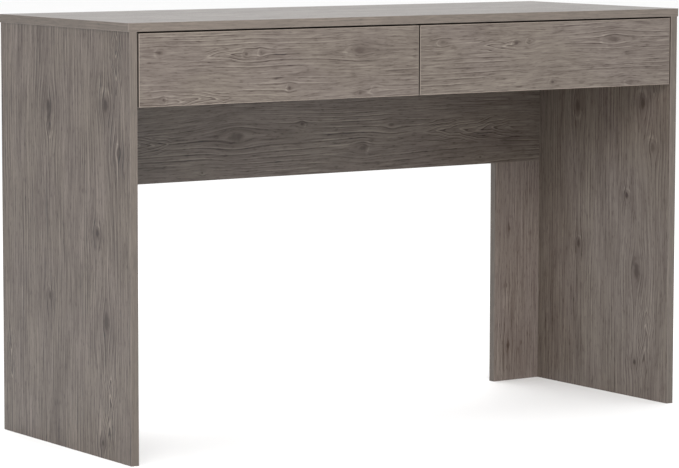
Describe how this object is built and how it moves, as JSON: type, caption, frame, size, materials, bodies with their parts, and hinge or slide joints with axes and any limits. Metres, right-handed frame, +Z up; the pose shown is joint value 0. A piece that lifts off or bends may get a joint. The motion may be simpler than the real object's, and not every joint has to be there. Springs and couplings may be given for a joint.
{
  "type": "writing desk with drawers",
  "caption": "Panel writing desk in grey-taupe wood-grain laminate: solid side panels, a set-in back rail and shallow handle-less drawers side by side under the top.",
  "frame": {"origin": "on the floor, under the middle of the top", "axes": "+X along the desk to the sitter's right, +Y from the sitter towards the wall, +Z up"},
  "size_m": [1.2, 0.45, 0.75],
  "materials": {
    "decor_board": "matt wood-grain laminate",
    "decor_edging": "matt wood-grain strip",
    "box_board": "plain light grey laminate",
    "box_edging": "plain light grey strip",
    "hardboard": "light grey lacquered face",
    "runner_steel": "white powder coat",
    "nylon": "natural",
    "pin_steel": "zinc plated",
    "cam_metal": "die cast",
    "bolt_steel": "zinc plated",
    "screw_steel": "zinc plated",
    "beech": "plain turned wood",
    "cap_plastic": "matt, close to the boards' colour"
  },
  "bodies": {
    "desk": {"back_rail": "decor_board", "back_rail_edging": "decor_edging", "back_stile_edging": "decor_edging", "centre_divider": "decor_board", "centre_divider_edging": "decor_edging", "channel_screws": "screw_steel", "divider_screws": "screw_steel", "frame_cam_bolts": "bolt_steel", "frame_cam_caps": "cap_plastic", "frame_cam_locks": "cam_metal", "frame_dowels": "beech", "frame_roller_pins": "pin_steel", "left_back_stile": "decor_board", "left_bay_left_channel": "runner_steel", "left_bay_right_channel": "runner_steel", "left_side_edging": "decor_edging", "left_side_panel": "decor_board", "right_back_stile": "decor_board", "right_bay_left_channel": "runner_steel", "right_bay_right_channel": "runner_steel", "right_side_edging": "decor_edging", "right_side_panel": "decor_board", "top_panel": "decor_board", "top_panel_edging": "decor_edging"},
    "left_drawer": {"left_drawer_front": "decor_board", "left_drawer_front_edging": "decor_edging", "left_drawer_left_side": "box_board", "left_drawer_right_side": "box_board", "left_drawer_back": "box_board", "left_drawer_bottom": "hardboard", "left_drawer_box_edging": "box_edging", "left_drawer_left_rail": "runner_steel", "left_drawer_right_rail": "runner_steel", "left_drawer_roller_pins": "pin_steel", "left_drawer_cam_locks": "cam_metal", "left_drawer_cam_bolts": "bolt_steel", "left_drawer_screws": "screw_steel"},
    "right_drawer": {"right_drawer_front": "decor_board", "right_drawer_front_edging": "decor_edging", "right_drawer_left_side": "box_board", "right_drawer_right_side": "box_board", "right_drawer_back": "box_board", "right_drawer_bottom": "hardboard", "right_drawer_box_edging": "box_edging", "right_drawer_left_rail": "runner_steel", "right_drawer_right_rail": "runner_steel", "right_drawer_roller_pins": "pin_steel", "right_drawer_cam_locks": "cam_metal", "right_drawer_cam_bolts": "bolt_steel", "right_drawer_screws": "screw_steel"},
    "left_bay_left_front_roller": {"left_bay_left_front_roller": "nylon"},
    "left_drawer_left_rear_roller": {"left_drawer_left_rear_roller": "nylon"},
    "left_bay_right_front_roller": {"left_bay_right_front_roller": "nylon"},
    "left_drawer_right_rear_roller": {"left_drawer_right_rear_roller": "nylon"},
    "right_bay_left_front_roller": {"right_bay_left_front_roller": "nylon"},
    "right_drawer_left_rear_roller": {"right_drawer_left_rear_roller": "nylon"},
    "right_bay_right_front_roller": {"right_bay_right_front_roller": "nylon"},
    "right_drawer_right_rear_roller": {"right_drawer_right_rear_roller": "nylon"}
  },
  "joints": [
    {"name": "left_drawer_slide", "type": "slide", "parent": "desk", "child": "left_drawer", "axis": [0, -1, 0], "range_m": [0, 0.26]},
    {"name": "right_drawer_slide", "type": "slide", "parent": "desk", "child": "right_drawer", "axis": [0, -1, 0], "range_m": [0, 0.26]},
    {"name": "left_bay_left_front_roller_spin", "type": "hinge", "parent": "desk", "child": "left_bay_left_front_roller", "pos_m": [-0.57575, -0.195, 0.6381], "axis": [1, 0, 0], "range_deg": [0, 1655.3]},
    {"name": "left_drawer_left_rear_roller_spin", "type": "hinge", "parent": "left_drawer", "child": "left_drawer_left_rear_roller", "pos_m": [-0.57715, 0.127, 0.6339], "axis": [1, 0, 0], "range_deg": [0, 1655.3]},
    {"name": "left_bay_right_front_roller_spin", "type": "hinge", "parent": "desk", "child": "left_bay_right_front_roller", "pos_m": [-0.01425, -0.195, 0.6381], "axis": [1, 0, 0], "range_deg": [0, 1655.3]},
    {"name": "left_drawer_right_rear_roller_spin", "type": "hinge", "parent": "left_drawer", "child": "left_drawer_right_rear_roller", "pos_m": [-0.01285, 0.127, 0.6339], "axis": [1, 0, 0], "range_deg": [0, 1655.3]},
    {"name": "right_bay_left_front_roller_spin", "type": "hinge", "parent": "desk", "child": "right_bay_left_front_roller", "pos_m": [0.01425, -0.195, 0.6381], "axis": [1, 0, 0], "range_deg": [0, 1655.3]},
    {"name": "right_drawer_left_rear_roller_spin", "type": "hinge", "parent": "right_drawer", "child": "right_drawer_left_rear_roller", "pos_m": [0.01285, 0.127, 0.6339], "axis": [1, 0, 0], "range_deg": [0, 1655.3]},
    {"name": "right_bay_right_front_roller_spin", "type": "hinge", "parent": "desk", "child": "right_bay_right_front_roller", "pos_m": [0.57575, -0.195, 0.6381], "axis": [1, 0, 0], "range_deg": [0, 1655.3]},
    {"name": "right_drawer_right_rear_roller_spin", "type": "hinge", "parent": "right_drawer", "child": "right_drawer_right_rear_roller", "pos_m": [0.57715, 0.127, 0.6339], "axis": [1, 0, 0], "range_deg": [0, 1655.3]}
  ],
  "couplings": [
    {"joint": "left_bay_left_front_roller_spin", "follows": "left_drawer_slide", "rad_per_m": 111.11},
    {"joint": "left_drawer_left_rear_roller_spin", "follows": "left_drawer_slide", "rad_per_m": 111.11},
    {"joint": "left_bay_right_front_roller_spin", "follows": "left_drawer_slide", "rad_per_m": 111.11},
    {"joint": "left_drawer_right_rear_roller_spin", "follows": "left_drawer_slide", "rad_per_m": 111.11},
    {"joint": "right_bay_left_front_roller_spin", "follows": "right_drawer_slide", "rad_per_m": 111.11},
    {"joint": "right_drawer_left_rear_roller_spin", "follows": "right_drawer_slide", "rad_per_m": 111.11},
    {"joint": "right_bay_right_front_roller_spin", "follows": "right_drawer_slide", "rad_per_m": 111.11},
    {"joint": "right_drawer_right_rear_roller_spin", "follows": "right_drawer_slide", "rad_per_m": 111.11}
  ]
}
